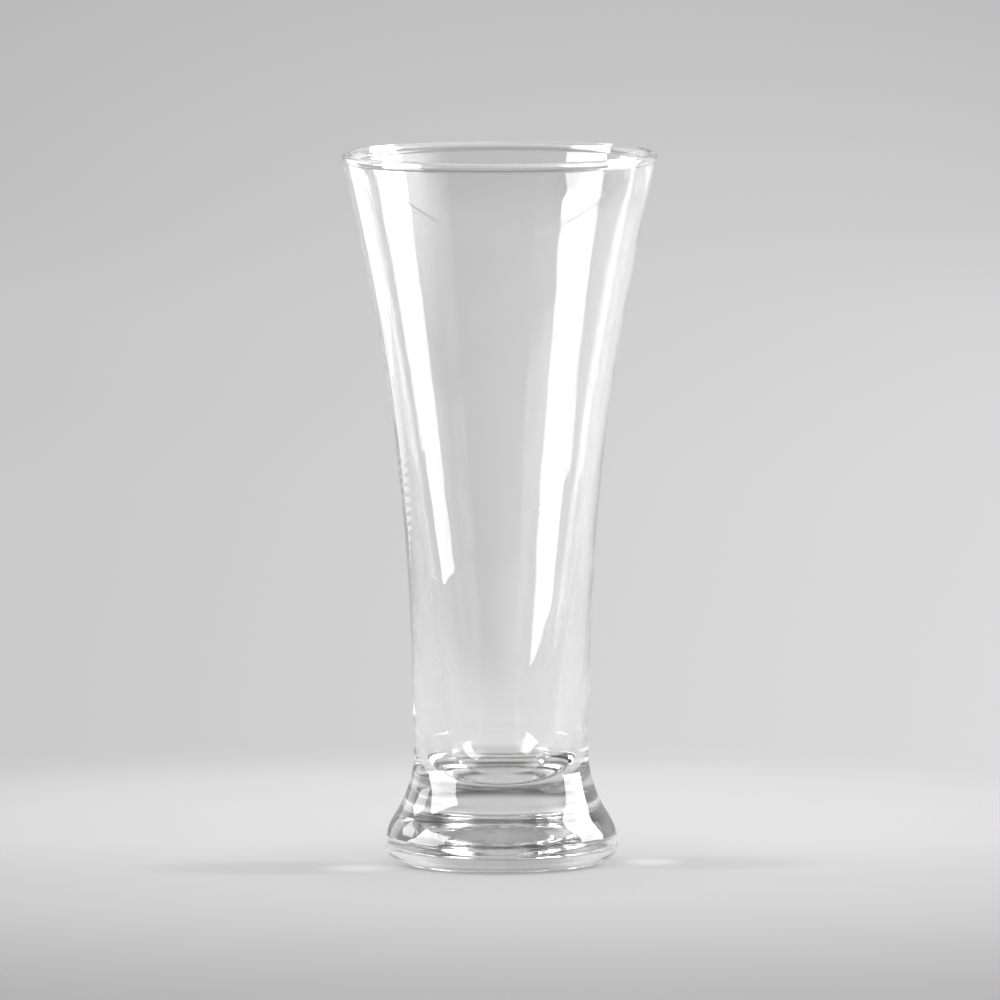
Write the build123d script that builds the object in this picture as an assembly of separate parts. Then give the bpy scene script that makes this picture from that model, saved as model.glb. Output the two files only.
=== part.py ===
from build123d import *
import math
import os

# Pilsner glass: a flared bowl on a heavy solid bottom and a short flared foot.
# Millimetres, +Z up. The origin is on the axis, in the plane of the bearing ring that the glass stands on.

# ---- driving dimensions ----
HEIGHT = 183.0            # bearing ring to the top of the lip
RIM_OD = 80.9             # over the lip bead
BEAD_R = 1.25             # radius of the lip bead's section
BEAD_OUT, BEAD_IN = -30.0, 190.0   # the bead's round part, as angles about its centre
NECK_Z = 180.4            # where the wall runs into the lip bead
NECK_OUT_R = 40.06        # outer radius there
NECK_IN_R = 38.2          # inner radius there

FOOT_OD = 59.64           # widest part of the foot
FOOT_WIDE_Z = 5.2         # height of that
RING_IN_R = 20.0          # flat bearing ring, inner and outer radius
RING_OUT_R = 23.0
HOLLOW_H = 2.0            # rise of the hollow under the foot, on the axis

FLOOR_Z = 19.4            # lowest point of the inside of the bowl

FOOT_TOP_Z = 15.0         # foot meets bowl floor
FLOOR_TOP_Z = 40.0        # bowl floor meets bowl wall
WALL_TOP_Z = NECK_Z       # bowl wall meets lip bead

# underside: hollow from the axis out, then the rounded heel outside the bearing ring
UNDER = [(5.5, 1.85), (11.0, 1.4), (15.5, 0.81)]
HEEL = [(25.3, 0.14), (26.95, 0.56), (28.2, 1.24), (29.1, 2.2), (29.64, 3.45)]

# outer radius at each height: foot and waist, then the wall up to the lip
OUT_LOW = [
    (29.755, 6.6), (29.57, 7.8), (29.13, 9.2), (28.38, 10.8), (27.69, 12.0), (26.46, 14.0), (25.41, 16.0), (24.56, 18.0),
    (23.85, 20.0), (23.29, 22.0), (22.88, 24.0), (22.62, 26.0), (22.47, 29.0), (22.47, 34.0),
]
OUT_MEET = (22.59, FLOOR_TOP_Z)
OUT_WALL = [(23.17, 60.0), (24.25, 80.0), (26.02, 100.0), (28.47, 120.0), (31.66, 140.0), (34.95, 157.0), (37.72, 170.0)]

# inner radius at each height: lip down to the wall's foot, then the rounded bottom of the bowl
IN_WALL = [(36.83, 174.0), (35.93, 170.0), (33.10, 157.0), (29.65, 140.0), (26.1, 120.0), (22.9, 100.0), (19.95, 80.0), (17.2, 60.0)]
IN_MEET = (14.66, FLOOR_TOP_Z)
IN_LOW = [(14.2, 35.6), (13.7, 31.3), (13.0, 27.8), (11.8, 24.7), (10.06, 22.25), (7.87, 20.63), (5.18, 19.8), (2.59, 19.5)]

# slopes (radius per height) where those curves meet
NECK_OUT_SLOPE, NECK_IN_SLOPE = 0.21, 0.205
MEET_OUT_SLOPE, MEET_IN_SLOPE = 0.019, 0.115
HOLLOW_END_SLOPE = 0.18   # fall of the hollow where it reaches the ring


def section():
    """Half section of the whole glass in the XZ plane."""
    bead_c = (RIM_OD / 2 - BEAD_R, HEIGHT - BEAD_R)

    def bead(deg):
        a = math.radians(deg)
        return (bead_c[0] + BEAD_R * math.cos(a), bead_c[1] + BEAD_R * math.sin(a))

    def bead_way(deg):
        a = math.radians(deg)
        return (-math.sin(a), math.cos(a))

    neck_out = (NECK_OUT_R, NECK_Z)
    neck_in = (NECK_IN_R, NECK_Z)
    foot_wide = (FOOT_OD / 2, FOOT_WIDE_Z)

    edges = [
        # underside: hollow, bearing ring, heel
        Spline((0, HOLLOW_H), *UNDER, (RING_IN_R, 0), tangents=[(1, 0), (1, -HOLLOW_END_SLOPE)]),
        Line((RING_IN_R, 0), (RING_OUT_R, 0)),
        Spline((RING_OUT_R, 0), *HEEL, foot_wide, tangents=[(1, 0), (0, 1)]),
        # outside, foot to lip
        Spline(foot_wide, *OUT_LOW, OUT_MEET, tangents=[(0, 1), (MEET_OUT_SLOPE, 1)]),
        Spline(OUT_MEET, *OUT_WALL, neck_out, tangents=[(MEET_OUT_SLOPE, 1), (NECK_OUT_SLOPE, 1)]),
        Spline(neck_out, bead(BEAD_OUT), tangents=[(NECK_OUT_SLOPE, 1), bead_way(BEAD_OUT)]),
        # lip bead
        ThreePointArc(bead(BEAD_OUT), bead((BEAD_OUT + BEAD_IN) / 2), bead(BEAD_IN)),
        # inside, lip to bowl floor
        Spline(bead(BEAD_IN), neck_in, tangents=[bead_way(BEAD_IN), (-NECK_IN_SLOPE, -1)]),
        Spline(neck_in, *IN_WALL, IN_MEET, tangents=[(-NECK_IN_SLOPE, -1), (-MEET_IN_SLOPE, -1)]),
        Spline(IN_MEET, *IN_LOW, (0, FLOOR_Z), tangents=[(-MEET_IN_SLOPE, -1), (-1, 0)]),
        # axis
        Line((0, FLOOR_Z), (0, HOLLOW_H)),
    ]
    return Plane.XZ * make_face(Wire(edges))


def zone(sec, z0, z1):
    """Ring or disc of glass between two heights, turned about the axis."""
    mid, h = (z0 + z1) / 2, z1 - z0
    window = Plane.XZ * Pos(30, mid) * Rectangle(60, h)
    part = sec & window
    turned = revolve(part, axis=Axis.Z, revolution_arc=360)
    return turned.solids()[0]


os.makedirs("parts", exist_ok=True)
sec = section()
zones = {
    "foot": zone(sec, -1.0, FOOT_TOP_Z),
    "bowl_floor": zone(sec, FOOT_TOP_Z, FLOOR_TOP_Z),
    "bowl_wall": zone(sec, FLOOR_TOP_Z, WALL_TOP_Z),
    "rim_bead": zone(sec, WALL_TOP_Z, HEIGHT + 1.0),
}
for name, shape in zones.items():
    shape.label = name
    export_step(shape, f"parts/{name}.step")
    bb = shape.bounding_box()
    print(name, "volume %.1f mm3" % shape.volume, "z %.2f to %.2f" % (bb.min.Z, bb.max.Z), "valid", shape.is_valid)
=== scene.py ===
import math

import bpy
import numpy as np
from mathutils import Matrix


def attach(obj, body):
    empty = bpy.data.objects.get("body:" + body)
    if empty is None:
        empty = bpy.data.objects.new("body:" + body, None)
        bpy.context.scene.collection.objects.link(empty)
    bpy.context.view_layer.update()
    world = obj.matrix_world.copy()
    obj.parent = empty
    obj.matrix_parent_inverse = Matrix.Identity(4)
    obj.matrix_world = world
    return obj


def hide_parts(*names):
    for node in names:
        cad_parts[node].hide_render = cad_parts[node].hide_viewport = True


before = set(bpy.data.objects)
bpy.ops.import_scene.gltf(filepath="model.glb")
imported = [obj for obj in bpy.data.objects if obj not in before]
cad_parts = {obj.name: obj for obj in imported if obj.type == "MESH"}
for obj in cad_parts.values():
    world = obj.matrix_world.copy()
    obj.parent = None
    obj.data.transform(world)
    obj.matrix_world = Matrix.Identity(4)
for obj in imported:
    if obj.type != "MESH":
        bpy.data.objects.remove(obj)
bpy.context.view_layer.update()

# ---------------------------------------------------------------- the glass's section, in millimetres
HEIGHT = 183.0
RIM_R = 40.45
BEAD_R = 1.25
BEAD_OUT, BEAD_IN = -30, 190
NECK_OUT = (40.06, 180.4)
NECK_IN = (38.2, 180.4)
FOOT_R = 29.82
RING_IN_R = 20.0
RING_OUT_R = 23.0
HOLLOW_H = 2.0
UNDER = [(5.5, 1.85), (11.0, 1.4), (15.5, 0.81)]
UNDER_END = (1, -0.18)
HEEL = [(25.3, 0.14), (26.95, 0.56), (28.2, 1.24), (29.1, 2.2), (29.64, 3.45)]
HEEL_TOP = (FOOT_R, 5.2)
FLOOR_Z = 19.4
FOOT_TOP_Z = 15.0
FLOOR_TOP_Z = 40.0
OUT_LOW = [
    (29.755, 6.6), (29.57, 7.8), (29.13, 9.2), (28.38, 10.8), (27.69, 12.0), (26.46, 14.0), (25.41, 16.0), (24.56, 18.0),
    (23.85, 20.0), (23.29, 22.0), (22.88, 24.0), (22.62, 26.0), (22.47, 29.0), (22.47, 34.0),
]
OUT_MEET = (22.59, FLOOR_TOP_Z)
OUT_WALL = [(23.17, 60.0), (24.25, 80.0), (26.02, 100.0), (28.47, 120.0), (31.66, 140.0), (34.95, 157.0), (37.72, 170.0)]
IN_WALL = [(36.83, 174.0), (35.93, 170.0), (33.10, 157.0), (29.65, 140.0), (26.1, 120.0), (22.9, 100.0), (19.95, 80.0), (17.2, 60.0)]
IN_MEET = (14.66, FLOOR_TOP_Z)
IN_LOW = [(14.2, 35.6), (13.7, 31.3), (13.0, 27.8), (11.8, 24.7), (10.06, 22.25), (7.87, 20.63), (5.18, 19.8), (2.59, 19.5)]
NECK_OUT_SLOPE, NECK_IN_SLOPE = 0.21, 0.205
MEET_OUT_SLOPE, MEET_IN_SLOPE = 0.019, 0.115
SEG = 256


def spline(points, t0, t1, step):
    """Smooth curve through points with the given end directions, sampled about every step."""
    p = np.array(points, float)
    d = np.linalg.norm(np.diff(p, axis=0), axis=1)
    u = np.concatenate([[0], np.cumsum(d)])
    n = len(p)
    t0 = np.array(t0, float) / np.linalg.norm(t0)
    t1 = np.array(t1, float) / np.linalg.norm(t1)
    a = np.zeros((n, n))
    b = np.zeros((n, 2))
    a[0, 0] = a[-1, -1] = 1
    b[0], b[-1] = t0, t1
    for i in range(1, n - 1):
        h0, h1 = d[i - 1], d[i]
        a[i, i - 1], a[i, i], a[i, i + 1] = h1, 2 * (h0 + h1), h0
        b[i] = 3 * (h0 * (p[i + 1] - p[i]) / h1 + h1 * (p[i] - p[i - 1]) / h0)
    m = np.linalg.solve(a, b)
    fine = []
    for i in range(n - 1):
        s = np.linspace(0, 1, 40, endpoint=False)[:, None]
        h = d[i]
        fine.append((2 * s**3 - 3 * s**2 + 1) * p[i] + (s**3 - 2 * s**2 + s) * h * m[i]
                    + (3 * s**2 - 2 * s**3) * p[i + 1] + (s**3 - s**2) * h * m[i + 1])
    fine.append(p[-1:])
    return resample(np.concatenate(fine), step)


def resample(poly, step):
    """Even spacing along a polyline, both ends kept."""
    d = np.linalg.norm(np.diff(poly, axis=0), axis=1)
    u = np.concatenate([[0], np.cumsum(d)])
    n = max(2, int(round(u[-1] / step)) + 1)
    w = np.linspace(0, u[-1], n)
    return np.stack([np.interp(w, u, poly[:, 0]), np.interp(w, u, poly[:, 1])], axis=1)


def arc(cx, cz, r, a0, a1, n):
    a = np.radians(np.linspace(a0, a1, n))
    return np.stack([cx + r * np.cos(a), cz + r * np.sin(a)], axis=1)


def cut(poly, z):
    """Splits a curve that climbs or falls through height z."""
    s = poly[:, 1] - z
    i = int(np.nonzero(s[:-1] * s[1:] <= 0)[0][0])
    f = s[i] / (s[i] - s[i + 1])
    q = poly[i] + f * (poly[i + 1] - poly[i])
    return np.concatenate([poly[: i + 1], [q]]), np.concatenate([[q], poly[i + 1:]])


bead_c = (RIM_R - BEAD_R, HEIGHT - BEAD_R)


def on_bead(deg):
    """Point of the lip bead and the direction there, going round from the outside over the top."""
    a = math.radians(deg)
    return (bead_c[0] + BEAD_R * math.cos(a), bead_c[1] + BEAD_R * math.sin(a)), (-math.sin(a), math.cos(a))


hollow = spline([(0.0, HOLLOW_H)] + UNDER + [(RING_IN_R, 0.0)], (1, 0), UNDER_END, 0.45)
ring = resample(np.array([(RING_IN_R, 0.0), (RING_OUT_R, 0.0)]), 0.45)
heel = spline([(RING_OUT_R, 0.0)] + HEEL + [HEEL_TOP], (1, 0), (0, 1), 0.45)
low_out = spline([HEEL_TOP] + OUT_LOW + [OUT_MEET], (0, 1), (MEET_OUT_SLOPE, 1), 0.1)
out_wall = spline([OUT_MEET] + OUT_WALL + [NECK_OUT], (MEET_OUT_SLOPE, 1), (NECK_OUT_SLOPE, 1), 0.1)
wall_low, wall_up = cut(out_wall, 80.0)
wall_mid, wall_up = cut(wall_up, 113.0)
out_wall = np.concatenate([resample(wall_low, 1.25), resample(wall_mid, 0.4)[1:], resample(wall_up, 1.25)[1:]])
lip_out = spline([NECK_OUT, on_bead(BEAD_OUT)[0]], (NECK_OUT_SLOPE, 1), on_bead(BEAD_OUT)[1], 0.1)
lip_top = arc(*bead_c, BEAD_R, BEAD_OUT, BEAD_IN, 40)
lip_in = spline([on_bead(BEAD_IN)[0], NECK_IN], on_bead(BEAD_IN)[1], (-NECK_IN_SLOPE, -1), 0.1)
in_wall = spline([NECK_IN] + IN_WALL + [IN_MEET], (-NECK_IN_SLOPE, -1), (-MEET_IN_SLOPE, -1), 1.25)
in_floor = spline([IN_MEET] + IN_LOW + [(0.0, FLOOR_Z)], (-MEET_IN_SLOPE, -1), (-1, 0), 0.25)
out_foot, out_floor = cut(low_out, FOOT_TOP_Z)
out_foot, out_floor = resample(out_foot, 0.5), resample(out_floor, 0.8)


def chain(*parts):
    """One profile from several that follow on; where each part ends is kept."""
    rows, ends = [], [0]
    for k, p in enumerate(parts):
        rows.append(p if k == 0 else p[1:])
        ends.append(ends[-1] + len(p) - 1)
    return np.concatenate(rows), ends


profile, ends = chain(hollow, ring, heel, out_foot, out_floor, out_wall, lip_out, lip_top, lip_in, in_wall, in_floor)
(R_HOLLOW, R_RING, R_HEEL, R_FOOT, R_FLOOR, R_WALL, R_LIP_OUT, R_LIP_TOP, R_LIP_IN, R_IN_WALL, R_IN_FLOOR) = ends[1:]
ROWS = len(profile)


# ---------------------------------------------------------------- surface relief, in millimetres, along the outward normal
def bump_at(x, centre, width):
    return np.exp(-(((x - centre) / width) ** 2))


def wave(theta, z, terms):
    s = np.zeros(np.broadcast(theta, z).shape)
    for amp, k, length, phase in terms:
        s = s + amp * np.cos(k * theta + 2 * math.pi * z / length + phase)
    return s


def relief():
    """Height of the real surface over the plain section, row by row and round the glass."""
    th = np.linspace(0, 2 * math.pi, SEG, endpoint=False)[None, :]
    r = profile[:, 0][:, None]
    z = profile[:, 1][:, None]
    row = np.arange(ROWS)[:, None]
    h = np.zeros((ROWS, SEG))
    inner = row >= R_LIP_IN
    outer = (row > R_HEEL) & (row <= R_WALL)
    under = row <= R_RING
    # the plunger leaves long shallow waves inside the bowl
    inside_wave = wave(th, z, [(0.016, 2, 61.0, 0.4), (0.010, 3, -38.0, 1.9), (0.007, 5, 27.0, 4.0),
                               (0.0045, 7, -19.0, 2.6), (0.003, 11, 15.0, 0.7), (0.006, 0, 33.0, 1.1)])
    fade = np.clip((z - 30.0) / 25.0, 0, 1) * np.clip((178.0 - z) / 8.0, 0, 1)
    h += np.where(inner, inside_wave * fade, 0)
    # the mould is truer, so the outside is calmer
    outside_wave = wave(th, z, [(0.005, 2, 83.0, 2.0), (0.004, 4, -47.0, 0.9), (0.002, 6, 31.0, 5.1)])
    fade = np.clip((z - 12.0) / 20.0, 0, 1) * np.clip((178.0 - z) / 6.0, 0, 1)
    h += np.where(outer, outside_wave * fade, 0)
    # chill ripples low on one side of the outside
    side = th - math.pi
    ladder = 0.042 * np.cos(2 * math.pi * (z - 4.0 * side) / 2.5) * bump_at(z, 96.4, 8.8) * bump_at(side, 0.1, 0.32)
    h += np.where(outer, ladder, 0)
    # two mould seams, a few hundredths proud, front right and back left
    for seam in (math.radians(-38), math.radians(142)):
        away = (th - seam + math.pi) % (2 * math.pi) - math.pi
        h += np.where(outer, 0.02 * bump_at(away * r, 0.0, 0.45) * np.clip((150.0 - z) / 40.0, 0, 1), 0)
    # turned rings on the bowl's floor
    rings = 0.010 * np.cos(2 * math.pi * r / 2.3) * np.clip((11.0 - r) / 4.0, 0, 1)
    for at_r, tall in ((1.6, 0.03), (3.7, 0.04), (5.9, 0.035), (8.1, 0.045)):
        rings = rings + tall * bump_at(r, at_r, 0.26)
    h += np.where(row > R_IN_WALL, rings, 0)
    # stipple on the bearing ring and a pebbled ripple in the hollow under the foot
    rng = np.random.RandomState(7)
    grain = rng.normal(0, 1, (ROWS, SEG))
    for _ in range(1):
        grain = (grain + np.roll(grain, 1, 1) + np.roll(grain, 1, 0)) / 1.7
    h += np.where(under & (row > R_HOLLOW + 1) & (row < R_RING - 1), -np.abs(grain) * 0.03, 0)
    x, y = r * np.cos(th), r * np.sin(th)
    pebble = np.zeros((ROWS, SEG))
    for _ in range(26):
        turn, length, phase = rng.uniform(0, 2 * math.pi), rng.uniform(2.6, 6.5), rng.uniform(0, 2 * math.pi)
        pebble += 0.0022 * length * np.cos(2 * math.pi * (x * math.cos(turn) + y * math.sin(turn)) / length + phase) / 4.0
    for _ in range(16):
        turn, length, phase = rng.uniform(0, 2 * math.pi), rng.uniform(1.1, 2.0), rng.uniform(0, 2 * math.pi)
        pebble += 0.0045 * length * np.cos(2 * math.pi * (x * math.cos(turn) + y * math.sin(turn)) / length + phase) / 4.0
    h += np.where(row <= R_HOLLOW, pebble * np.clip((RING_IN_R - 0.4 - r) / 1.5, 0, 1), 0)
    return h


def surface():
    """Points and outward normals of the whole surface, in metres."""
    th = np.linspace(0, 2 * math.pi, SEG, endpoint=False)
    t = np.gradient(profile, axis=0)
    t /= np.linalg.norm(t, axis=1)[:, None]
    n2 = np.stack([t[:, 1], -t[:, 0]], axis=1)
    h = relief()
    r = profile[:, 0][:, None] + n2[:, 0][:, None] * h
    z = profile[:, 1][:, None] + n2[:, 1][:, None] * h
    r[0], r[-1] = 0, 0
    p = np.stack([r * np.cos(th), r * np.sin(th), z + 0 * th], axis=2) / 1000.0
    dt = np.empty_like(p)
    dt[1:-1] = p[2:] - p[:-2]
    dt[0], dt[-1] = p[1] - p[0], p[-1] - p[-2]
    dq = np.roll(p, -1, 1) - np.roll(p, 1, 1)
    dq[0], dq[-1] = dq[1], dq[-2]
    n = np.cross(dq, dt)
    n /= np.linalg.norm(n, axis=2)[:, :, None]
    n[0], n[-1] = (0, 0, -1), (0, 0, 1)
    return p, n


POINTS, NORMALS = surface()


# ---------------------------------------------------------------- pieces
def piece(name, runs, node):
    """Closed lathe piece. runs are row ranges of the surface, in order; flat joins close it between them."""
    verts, normals, faces, loop_n, mats = [], [], [], [], []

    def add_ring(i):
        start = len(verts)
        if i in (0, ROWS - 1):
            verts.append(POINTS[i, 0])
            normals.append(NORMALS[i, 0])
            return (start, 1)
        verts.extend(POINTS[i])
        normals.extend(NORMALS[i])
        return (start, SEG)

    def band(lo, hi, flat=None):
        (s0, n0), (s1, n1) = lo, hi
        for j in range(SEG):
            k = (j + 1) % SEG
            if n0 == 1:
                f = (s0, s1 + k, s1 + j)
            elif n1 == 1:
                f = (s0 + j, s0 + k, s1)
            else:
                f = (s0 + j, s0 + k, s1 + k, s1 + j)
            faces.append(f)
            mats.append(0 if flat is None else 1)
            for v in f:
                loop_n.append(normals[v] if flat is None else flat)

    first = last = None
    for a, b in runs:
        rings = [add_ring(i) for i in range(a, b + 1)]
        if last is not None:
            band(last, rings[0], flat=(0, 0, 1))
        for lo, hi in zip(rings, rings[1:]):
            band(lo, hi)
        first = first or rings[0]
        last = rings[-1]
    if first[1] == 1 and last[1] == SEG:
        start = len(verts)
        verts.append(np.array([0, 0, POINTS[runs[-1][1], :, 2].mean()]))
        normals.append(np.array([0, 0, 1.0]))
        band(last, (start, 1), flat=(0, 0, 1))
    elif first[1] == SEG and last[1] == 1:
        start = len(verts)
        verts.append(np.array([0, 0, POINTS[runs[0][0], :, 2].mean()]))
        normals.append(np.array([0, 0, -1.0]))
        band((start, 1), first, flat=(0, 0, -1))
    else:
        band(last, first, flat=(0, 0, -1))
    mesh = bpy.data.meshes.new(name)
    mesh.from_pydata([tuple(v) for v in verts], [], faces)
    mesh.polygons.foreach_set("use_smooth", [True] * len(faces))
    mesh.polygons.foreach_set("material_index", mats)
    mesh.update()
    mesh.normals_split_custom_set([tuple(float(c) for c in v) for v in loop_n])
    obj = bpy.data.objects.new(name, mesh)
    bpy.context.scene.collection.objects.link(obj)
    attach(obj, "root")
    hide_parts(node)
    return obj


# ---------------------------------------------------------------- node helpers
def node(tree, kind, inputs=None, **props):
    n = tree.nodes.new(kind)
    for k, v in props.items():
        setattr(n, k, v)
    for k, v in (inputs or {}).items():
        if isinstance(v, bpy.types.NodeSocket):
            tree.links.new(v, n.inputs[k])
        else:
            n.inputs[k].default_value = v
    return n


def math_node(tree, op, a, b=None, c=None, clamp=False):
    ins = {0: a}
    if b is not None:
        ins[1] = b
    if c is not None:
        ins[2] = c
    return node(tree, "ShaderNodeMath", ins, operation=op, use_clamp=clamp).outputs[0]


def ramp(tree, fac, stops, mode="EASE"):
    n = node(tree, "ShaderNodeValToRGB", {0: fac})
    n.color_ramp.interpolation = mode
    e = n.color_ramp.elements
    while len(e) > 1:
        e.remove(e[-1])
    for k, (pos, val) in enumerate(stops):
        el = e[0] if k == 0 else e.new(pos)
        el.position = pos
        el.color = (val, val, val, 1) if not isinstance(val, tuple) else (*val, 1)
    return n.outputs[0]


def step(tree, x, lo, hi):
    """0 below lo, 1 above hi, smooth between."""
    n = node(tree, "ShaderNodeMapRange", {"Value": x, "From Min": lo, "From Max": hi, "To Min": 0.0, "To Max": 1.0},
             interpolation_type="SMOOTHSTEP", clamp=True)
    return n.outputs[0]


def new_material(name):
    m = bpy.data.materials.new(name)
    m.use_nodes = True
    m.node_tree.nodes.clear()
    return m, m.node_tree


# ---------------------------------------------------------------- materials
def glass(name, wear, clear):
    """Clear soda-lime glass with faint polishing grain; wear adds the scuffed bearing ring under the foot; clear is the share of light that goes straight through the skin."""
    m, t = new_material(name)
    at = node(t, "ShaderNodeTexCoord").outputs["Object"]
    grain = node(t, "ShaderNodeTexNoise", {"Vector": at, "Scale": 420.0, "Detail": 3.0, "Roughness": 0.55}).outputs[0]
    rough = node(t, "ShaderNodeMapRange", {"Value": grain, "From Min": 0.45, "From Max": 0.8, "To Min": 0.0, "To Max": 0.012}).outputs[0]
    if wear:
        xyz = node(t, "ShaderNodeSeparateXYZ", {0: at})
        low = math_node(t, "SUBTRACT", 1.0, step(t, xyz.outputs["Z"], 0.00002, 0.00025))
        scuff = node(t, "ShaderNodeTexNoise", {"Vector": at, "Scale": 900.0, "Detail": 2.0}).outputs[0]
        scuff = math_node(t, "MULTIPLY", low, step(t, scuff, 0.42, 0.62))
        rough = math_node(t, "ADD", rough, math_node(t, "MULTIPLY", scuff, 0.22))
    peel = node(t, "ShaderNodeTexNoise", {"Vector": at, "Scale": 160.0, "Detail": 1.5}).outputs[0]
    bump = node(t, "ShaderNodeBump", {"Height": peel, "Strength": 0.06, "Distance": 0.00006}).outputs[0]
    bsdf = node(t, "ShaderNodeBsdfPrincipled", {"Base Color": (0.992, 0.993, 0.992, 1), "Roughness": rough, "IOR": 1.52, "Transmission Weight": 1.0, "Normal": bump})
    haze = node(t, "ShaderNodeMixShader", {0: clear})
    body = bsdf.outputs[0]
    if wear:
        ground = node(t, "ShaderNodeMixShader", {0: math_node(t, "MULTIPLY", low, math_node(t, "ADD", 0.45, math_node(t, "MULTIPLY", scuff, 0.4)))})
        t.links.new(body, ground.inputs[1])
        t.links.new(node(t, "ShaderNodeBsdfDiffuse", {"Color": (0.16, 0.16, 0.16, 1)}).outputs[0], ground.inputs[2])
        body = ground.outputs[0]
    t.links.new(body, haze.inputs[1])
    t.links.new(node(t, "ShaderNodeBsdfTransparent").outputs[0], haze.inputs[2])
    out = node(t, "ShaderNodeOutputMaterial")
    t.links.new(haze.outputs[0], out.inputs["Surface"])
    return m


def join_material():
    """The plane where two zones of one body of glass meet: nothing to see."""
    m, t = new_material("glass_join")
    b = node(t, "ShaderNodeBsdfTransparent")
    out = node(t, "ShaderNodeOutputMaterial")
    t.links.new(b.outputs[0], out.inputs["Surface"])
    return m


join = join_material()
plain = glass("glass_plain", False, 0.025)
lip = glass("glass_lip", False, 0.006)
thick = glass("glass_thick", False, 0.004)
footed = glass("glass_foot", True, 0.004)
build = [
    ("foot_glass", [(0, R_FOOT)], "foot", footed),
    ("bowl_floor_glass", [(R_FOOT, R_FLOOR), (R_IN_WALL, R_IN_FLOOR)], "bowl_floor", thick),
    ("bowl_wall_glass", [(R_FLOOR, R_WALL), (R_LIP_IN, R_IN_WALL)], "bowl_wall", plain),
    ("rim_bead_glass", [(R_WALL, R_LIP_IN)], "rim_bead", lip),
]
for name, runs, cad, mat in build:
    o = piece(name, runs, cad)
    o.data.materials.append(mat)
    o.data.materials.append(join)


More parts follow.
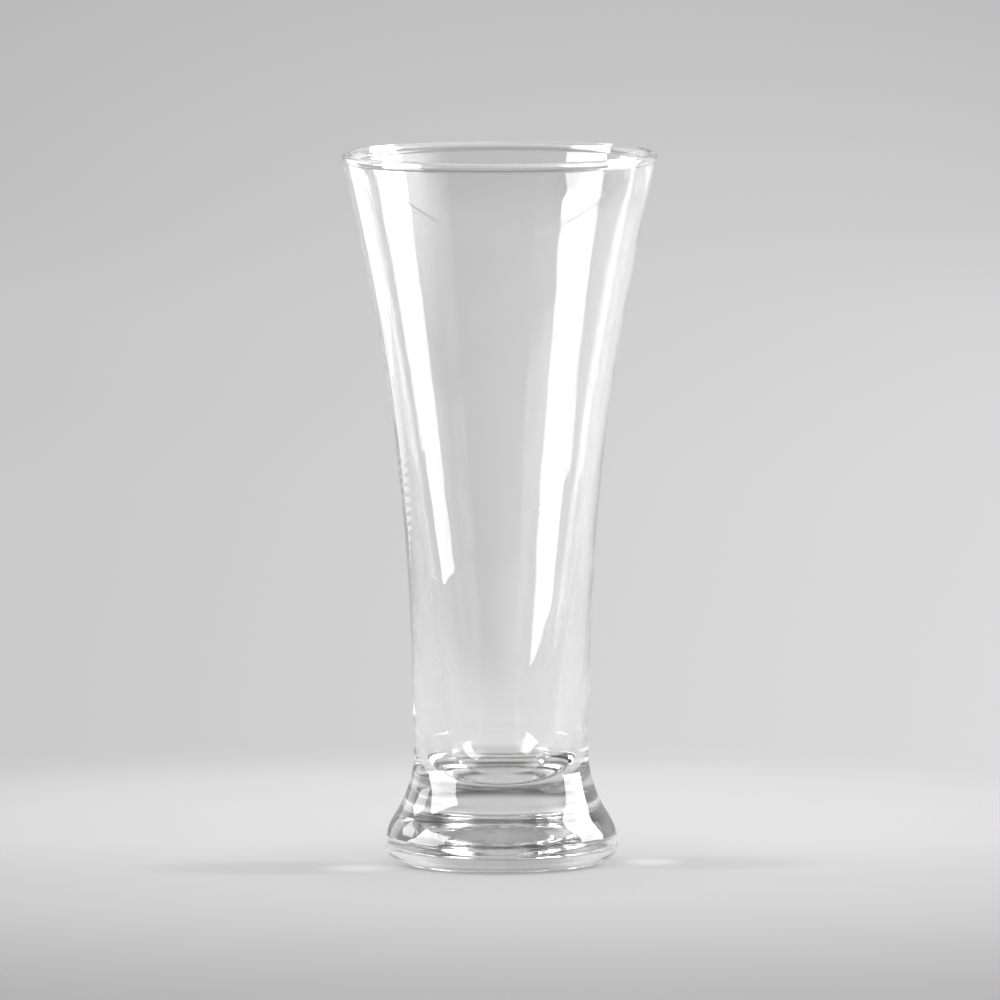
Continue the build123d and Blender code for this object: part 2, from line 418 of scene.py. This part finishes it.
# ---------------------------------------------------------------- stage: pale table and the room round it
def table_top():
    rings = [0.0] + [0.40 * k / 40 for k in range(1, 41)]
    seg = 128
    verts, faces = [(0, 0, 0)], []
    for r in rings[1:]:
        verts += [(r * math.cos(2 * math.pi * j / seg), r * math.sin(2 * math.pi * j / seg), 0) for j in range(seg)]
    for j in range(seg):
        k = (j + 1) % seg
        faces.append((0, 1 + j, 1 + k))
        for i in range(len(rings) - 2):
            a, b = 1 + i * seg, 1 + (i + 1) * seg
            faces.append((a + j, b + j, b + k, a + k))
    mesh = bpy.data.meshes.new("table_top")
    mesh.from_pydata(verts, [], faces)
    mesh.update()
    o = bpy.data.objects.new("table_top", mesh)
    o.location = (0, -0.12, -0.0001)
    bpy.context.scene.collection.objects.link(o)
    m, t = new_material("table_top")
    at = node(t, "ShaderNodeTexCoord").outputs["Object"]
    length = node(t, "ShaderNodeVectorMath", {0: at}, operation="LENGTH").outputs["Value"]
    xyz = node(t, "ShaderNodeSeparateXYZ", {0: at})
    x, y = xyz.outputs[0], math_node(t, "SUBTRACT", xyz.outputs[1], 0.12)
    # painted light on the table: its glow is lightest behind the glass, falling off towards the front (-Y)
    tone = ramp(t, math_node(t, "ADD", math_node(t, "MULTIPLY", y, 1 / 0.6), 0.5),
                [(0.0, 0.445), (0.0767, 0.458), (0.12, 0.475), (0.181, 0.512), (0.242, 0.55), (0.307, 0.597), (0.37, 0.634), (0.437, 0.655), (0.5, 0.685), (0.573, 0.735), (0.68, 0.74), (0.753, 0.725), (0.828, 0.71), (0.867, 0.69), (0.905, 0.67), (1.0, 0.66)], "LINEAR")
    # painted light: the table's glow dims towards the left and right, a little less on the right (+X)
    across = math_node(t, "ADD", math_node(t, "MULTIPLY", x, 0.25), math_node(t, "SUBTRACT", 1.0, math_node(t, "MULTIPLY", math_node(t, "MULTIPLY", x, x), 4.0)))
    paint = node(t, "ShaderNodeBsdfPrincipled", {"Base Color": (0.06, 0.06, 0.06, 1), "Roughness": 0.8, "Specular IOR Level": 0.1})
    # soft shade under and round the foot
    from_foot = node(t, "ShaderNodeVectorMath", {0: node(t, "ShaderNodeVectorMath", {0: at, 1: (0.0, -0.12, 0.0)}, operation="ADD").outputs[0]}, operation="LENGTH").outputs["Value"]
    shade = math_node(t, "ADD", 0.80, math_node(t, "ADD", math_node(t, "MULTIPLY", step(t, from_foot, 0.024, 0.036), 0.14), math_node(t, "MULTIPLY", step(t, from_foot, 0.034, 0.085), 0.06)))
    for inside, share in (
        # close under the back of the heel, then wider behind it, then the contact line in front
        ((step(t, from_foot, 0.0265, 0.031), math_node(t, "SUBTRACT", 1.0, step(t, from_foot, 0.038, 0.0455)), math_node(t, "MULTIPLY", step(t, y, 0.020, 0.028), math_node(t, "SUBTRACT", 1.0, step(t, math_node(t, "ABSOLUTE", x), 0.010, 0.030)))), 0.72),
        ((step(t, y, 0.02, 0.034), math_node(t, "SUBTRACT", 1.0, step(t, from_foot, 0.055, 0.085)), math_node(t, "SUBTRACT", 1.0, step(t, math_node(t, "ABSOLUTE", x), 0.020, 0.032))), 0.18),
        ((step(t, from_foot, 0.0215, 0.0235), math_node(t, "SUBTRACT", 1.0, step(t, from_foot, 0.026, 0.029)), math_node(t, "SUBTRACT", 1.0, step(t, y, -0.012, -0.004))), 0.32),
    ):
        inside = math_node(t, "MULTIPLY", math_node(t, "MULTIPLY", inside[0], inside[1]), inside[2])
        shade = math_node(t, "MULTIPLY", shade, math_node(t, "SUBTRACT", 1.0, math_node(t, "MULTIPLY", inside, share)))
    # faint shadow to each side of the foot, with a patch of gathered light in it
    for x0, y0, hx, hy, soft, amount in ((-0.055, -0.012, 0.050, 0.019, 0.35, -0.11), (-0.0365, -0.0130, 0.0140, 0.0110, 0.1, 0.30),
                                         (0.050, -0.004, 0.042, 0.019, 0.35, -0.09), (0.0385, -0.002, 0.0110, 0.0110, 0.1, 0.27)):
        off = node(t, "ShaderNodeCombineXYZ", {0: math_node(t, "DIVIDE", math_node(t, "SUBTRACT", x, x0), hx), 1: math_node(t, "DIVIDE", math_node(t, "SUBTRACT", y, y0), hy)}).outputs[0]
        inside = math_node(t, "SUBTRACT", 1.0, step(t, node(t, "ShaderNodeVectorMath", {0: off}, operation="LENGTH").outputs["Value"], soft, 1.0))
        shade = math_node(t, "MULTIPLY", shade, math_node(t, "ADD", 1.0, math_node(t, "MULTIPLY", inside, amount)))
    tone = math_node(t, "MULTIPLY", tone, across)
    # the table's brightness is painted light: it glows with the painted tone, painted shade and painted patches of
    # light, in place of light from the lamps
    painted_table_light = node(t, "ShaderNodeEmission", {"Color": tone, "Strength": shade})
    body = node(t, "ShaderNodeAddShader")
    t.links.new(paint.outputs[0], body.inputs[0])
    t.links.new(painted_table_light.outputs[0], body.inputs[1])
    clear = node(t, "ShaderNodeBsdfTransparent")
    edge = step(t, length, 0.29, 0.39)
    mix = node(t, "ShaderNodeMixShader", {0: edge})
    t.links.new(body.outputs[0], mix.inputs[1])
    t.links.new(clear.outputs[0], mix.inputs[2])
    out = node(t, "ShaderNodeOutputMaterial")
    t.links.new(mix.outputs[0], out.inputs["Surface"])
    mesh.materials.append(m)


def room():
    """Grey paper all round, painted by direction; the two tall light panels at the sides are separate objects, made by
    panel().
    """
    w = bpy.data.worlds.new("room")
    bpy.context.scene.world = w
    w.use_nodes = True
    t = w.node_tree
    t.nodes.clear()
    d = node(t, "ShaderNodeSeparateXYZ", {0: node(t, "ShaderNodeTexCoord").outputs["Generated"]})
    x, y, z = d.outputs[0], d.outputs[1], d.outputs[2]
    az = math_node(t, "MULTIPLY", math_node(t, "ARCTAN2", x, math_node(t, "MULTIPLY", y, -1.0)), 180 / math.pi)
    el = math_node(t, "MULTIPLY", math_node(t, "ARCSINE", z), 180 / math.pi)
    # paper: brightest low down, falling off upwards
    paper = ramp(t, math_node(t, "DIVIDE", math_node(t, "ADD", el, 90.0), 180.0),
                 [(0.0, 0.62), (0.40, 0.66), (0.46333, 0.655), (0.46833, 0.648), (0.47056, 0.64), (0.47294, 0.62), (0.47528, 0.595), (0.47944, 0.53), (0.4833, 0.505), (0.50, 0.47), (0.5444, 0.49), (0.5611, 0.46), (0.575, 0.40), (0.5889, 0.34), (0.6056, 0.28), (0.6167, 0.33), (0.6278, 0.50), (0.6389, 0.52), (0.80, 0.50), (1.0, 0.45)], "LINEAR")
    # the paper behind the glass is lighter towards the right
    across = math_node(t, "DIVIDE", x, math_node(t, "MAXIMUM", math_node(t, "ABSOLUTE", y), 0.02))
    side = ramp(t, math_node(t, "DIVIDE", math_node(t, "ADD", across, 1.0), 2.0, clamp=True),
                [(0.0, 0.52), (0.211, 0.50), (0.365, 0.475), (0.482, 0.45), (0.5, 0.50), (0.518, 0.545), (0.635, 0.58), (0.789, 0.63), (1.0, 0.68)], "LINEAR")
    side = math_node(t, "MULTIPLY", side, 2.0)
    low = node(t, "ShaderNodeMapRange", {"Value": el, "From Min": -5.3, "From Max": -3.7, "To Min": 1.0, "To Max": 0.3}, clamp=True).outputs[0]
    back = math_node(t, "MULTIPLY", step(t, y, -0.2, 0.3), low)
    side = math_node(t, "ADD", math_node(t, "MULTIPLY", math_node(t, "SUBTRACT", side, 1.0), back), 1.0)
    # the front (-Y) side of the room is darker
    front = node(t, "ShaderNodeMapRange", {"Value": y, "From Min": -0.95, "From Max": -0.2, "To Min": 0.28, "To Max": 1.0}, clamp=True, interpolation_type="SMOOTHSTEP").outputs[0]
    front = math_node(t, "MAXIMUM", front, node(t, "ShaderNodeMapRange", {"Value": el, "From Min": 34.0, "From Max": 50.0, "To Min": 0.0, "To Max": 1.15}, clamp=True, interpolation_type="SMOOTHSTEP").outputs[0])
    level = math_node(t, "MULTIPLY", math_node(t, "MULTIPLY", paper, side), front)
    # dark cloth over each panel
    for a0, a1, e0, e1 in ((-126.0, -54.0, 31.0, 60.0), (38.0, 84.0, 35.0, 60.0)):
        inside = math_node(t, "MULTIPLY", math_node(t, "MULTIPLY", step(t, az, a0 - 3, a0 + 3), math_node(t, "SUBTRACT", 1.0, step(t, az, a1 - 3, a1 + 3))),
                           math_node(t, "MULTIPLY", step(t, el, e0 - 2, e0 + 2), math_node(t, "SUBTRACT", 1.0, step(t, el, e1 - 4, e1 + 4))))
        level = math_node(t, "MULTIPLY", level, math_node(t, "SUBTRACT", 1.0, math_node(t, "MULTIPLY", inside, 0.9)))
    # corners of the paper fall off a little
    near = math_node(t, "MINIMUM", math_node(t, "ABSOLUTE", across), 0.037)
    level = math_node(t, "MULTIPLY", level, math_node(t, "SUBTRACT", 1.0, math_node(t, "MULTIPLY", math_node(t, "MULTIPLY", math_node(t, "MULTIPLY", near, near), 35.0), step(t, el, -5.0, -4.4))))
    # paper curving forward at both sides takes light from the panels
    wing = math_node(t, "MULTIPLY", math_node(t, "MULTIPLY", step(t, math_node(t, "ABSOLUTE", across), 0.25, 0.7), step(t, y, 0.0, 0.3)),
                     math_node(t, "MULTIPLY", step(t, el, -8.0, 1.0), math_node(t, "SUBTRACT", 1.0, step(t, el, 14.0, 32.0))))
    level = math_node(t, "ADD", level, math_node(t, "MULTIPLY", wing, 0.28))

    colour = node(t, "ShaderNodeCombineXYZ", {0: level, 1: level, 2: level}).outputs[0]
    bg = node(t, "ShaderNodeBackground", {"Color": colour, "Strength": 1.0})
    out = node(t, "ShaderNodeOutputWorld")
    t.links.new(bg.outputs[0], out.inputs["Surface"])


def panel(name, levels, fade0, fade1, power, skin=False):
    """Soft light 0.56 m off the axis. Each level, from the bottom up, gives azimuth and height of its two ends. It dims over the share fade0 next to the first end and fade1 next to the bottom. It shows only as a reflection, so that the glass in front of it stays clear from any side, and with skin only in the outer surface."""
    nu, nv = 24, 16
    verts, faces, uv = [], [], []
    rows = np.array(levels, float)
    for i in range(nu + 1):
        for j in range(nv + 1):
            u, v = i / nu, j / nv
            a0, z0, a1, z1 = [float(np.interp(v * (len(rows) - 1), range(len(rows)), rows[:, c])) for c in range(4)]
            az = math.radians(a0 + (a1 - a0) * u)
            verts.append((0.56 * math.sin(az), -0.56 * math.cos(az), z0 + (z1 - z0) * u))
    for i in range(nu):
        for j in range(nv):
            f = [i * (nv + 1) + j, (i + 1) * (nv + 1) + j, (i + 1) * (nv + 1) + j + 1, i * (nv + 1) + j + 1]
            faces.append(f)
            uv += [((k // (nv + 1)) / nu, (k % (nv + 1)) / nv) for k in f]
    mesh = bpy.data.meshes.new(name)
    mesh.from_pydata(verts, [], faces)
    layer = mesh.uv_layers.new(name="UVMap")
    for k, c in enumerate(uv):
        layer.data[k].uv = c
    mesh.update()
    m, t = new_material(name)
    uv = node(t, "ShaderNodeSeparateXYZ", {0: node(t, "ShaderNodeTexCoord").outputs["UV"]})
    glow = math_node(t, "MULTIPLY", math_node(t, "MULTIPLY", step(t, uv.outputs[0], -0.001, fade0), step(t, uv.outputs[1], -0.001, fade1)), power)
    way = node(t, "ShaderNodeLightPath")
    mirrored = math_node(t, "MINIMUM", way.outputs["Glossy Depth"], 1.0)
    if skin:
        mirrored = math_node(t, "MULTIPLY", mirrored, math_node(t, "LESS_THAN", way.outputs["Transmission Depth"], 0.5))
    e = node(t, "ShaderNodeEmission", {"Color": (1, 1, 1, 1), "Strength": math_node(t, "MULTIPLY", glow, mirrored)})
    thin = node(t, "ShaderNodeAddShader")
    t.links.new(e.outputs[0], thin.inputs[0])
    t.links.new(node(t, "ShaderNodeBsdfTransparent").outputs[0], thin.inputs[1])
    out = node(t, "ShaderNodeOutputMaterial")
    t.links.new(thin.outputs[0], out.inputs["Surface"])
    mesh.materials.append(m)
    o = bpy.data.objects.new(name, mesh)
    bpy.context.scene.collection.objects.link(o)
    o.visible_camera = False
    o.visible_diffuse = False
    o.visible_shadow = False


panel("light_right", [(84, 0.085, 121, 0.040), (87, 0.12, 122, 0.10), (87, 0.20, 122, 0.19), (87, 0.28, 122, 0.26), (84, 0.36, 122, 0.36), (84, 0.52, 119, 0.52)], 0.04, 0.0, 11.0)
panel("light_left", [(-65, 0.051, -107, 0.042), (-65, 0.09, -105, 0.075), (-58, 0.14, -101, 0.12), (-60, 0.19, -97, 0.17), (-60, 0.28, -96, 0.26), (-57, 0.365, -95, 0.365)], 0.0, 0.0, 11.0)
panel("card_left_back", [(-124, 0.0, -147, 0.0), (-124, 0.12, -147, 0.12), (-126, 0.24, -149, 0.24)], 0.35, 0.0, 1.3)
panel("light_right_low", [(60, 0.03, 86, 0.03), (60, 0.20, 86, 0.20)], 0.9, 0.25, 0.9)
panel("light_left_low", [(-44, 0.11, -59, 0.11), (-44, 0.27, -59, 0.27)], 0.6, 0.3, 0.9)
panel("light_right_spill", [(40, 0.20, 88, 0.20), (40, 0.31, 88, 0.31), (40, 0.42, 88, 0.42)], 1.0, 1.0, 6.0)
panel("light_right_top", [(40, 0.42, 88, 0.42), (40, 0.56, 88, 0.56)], 1.0, 0.0, 4.0)
panel("light_left_far", [(-101, 0.150, -119, 0.125), (-104, 0.205, -126, 0.185), (-107, 0.275, -121, 0.275)], 0.0, 0.0, 5.5, skin=True)
table_top()
room()

# ---------------------------------------------------------------- camera at the photograph's angle
cam = bpy.data.cameras.new("camera")
cam.sensor_width = 36.0
cam.lens = 493.0
cam.clip_start, cam.clip_end = 0.01, 50.0
eye = bpy.data.objects.new("camera", cam)
eye.location = (-0.00011, -3.5, 0.4431)
tilt, roll = math.radians(90 - 5.705), math.radians(-0.19)
eye.rotation_euler = (Matrix.Rotation(tilt, 3, "X") @ Matrix.Rotation(roll, 3, "Z")).to_euler()
bpy.context.scene.collection.objects.link(eye)
bpy.context.scene.camera = eye

scene = bpy.context.scene
scene.view_settings.view_transform = "Standard"
scene.view_settings.look = "None"
scene.cycles.use_denoising = True
scene.cycles.max_bounces = 48
scene.cycles.transmission_bounces = 48
scene.cycles.glossy_bounces = 48
scene.cycles.diffuse_bounces = 4
scene.cycles.transparent_max_bounces = 64
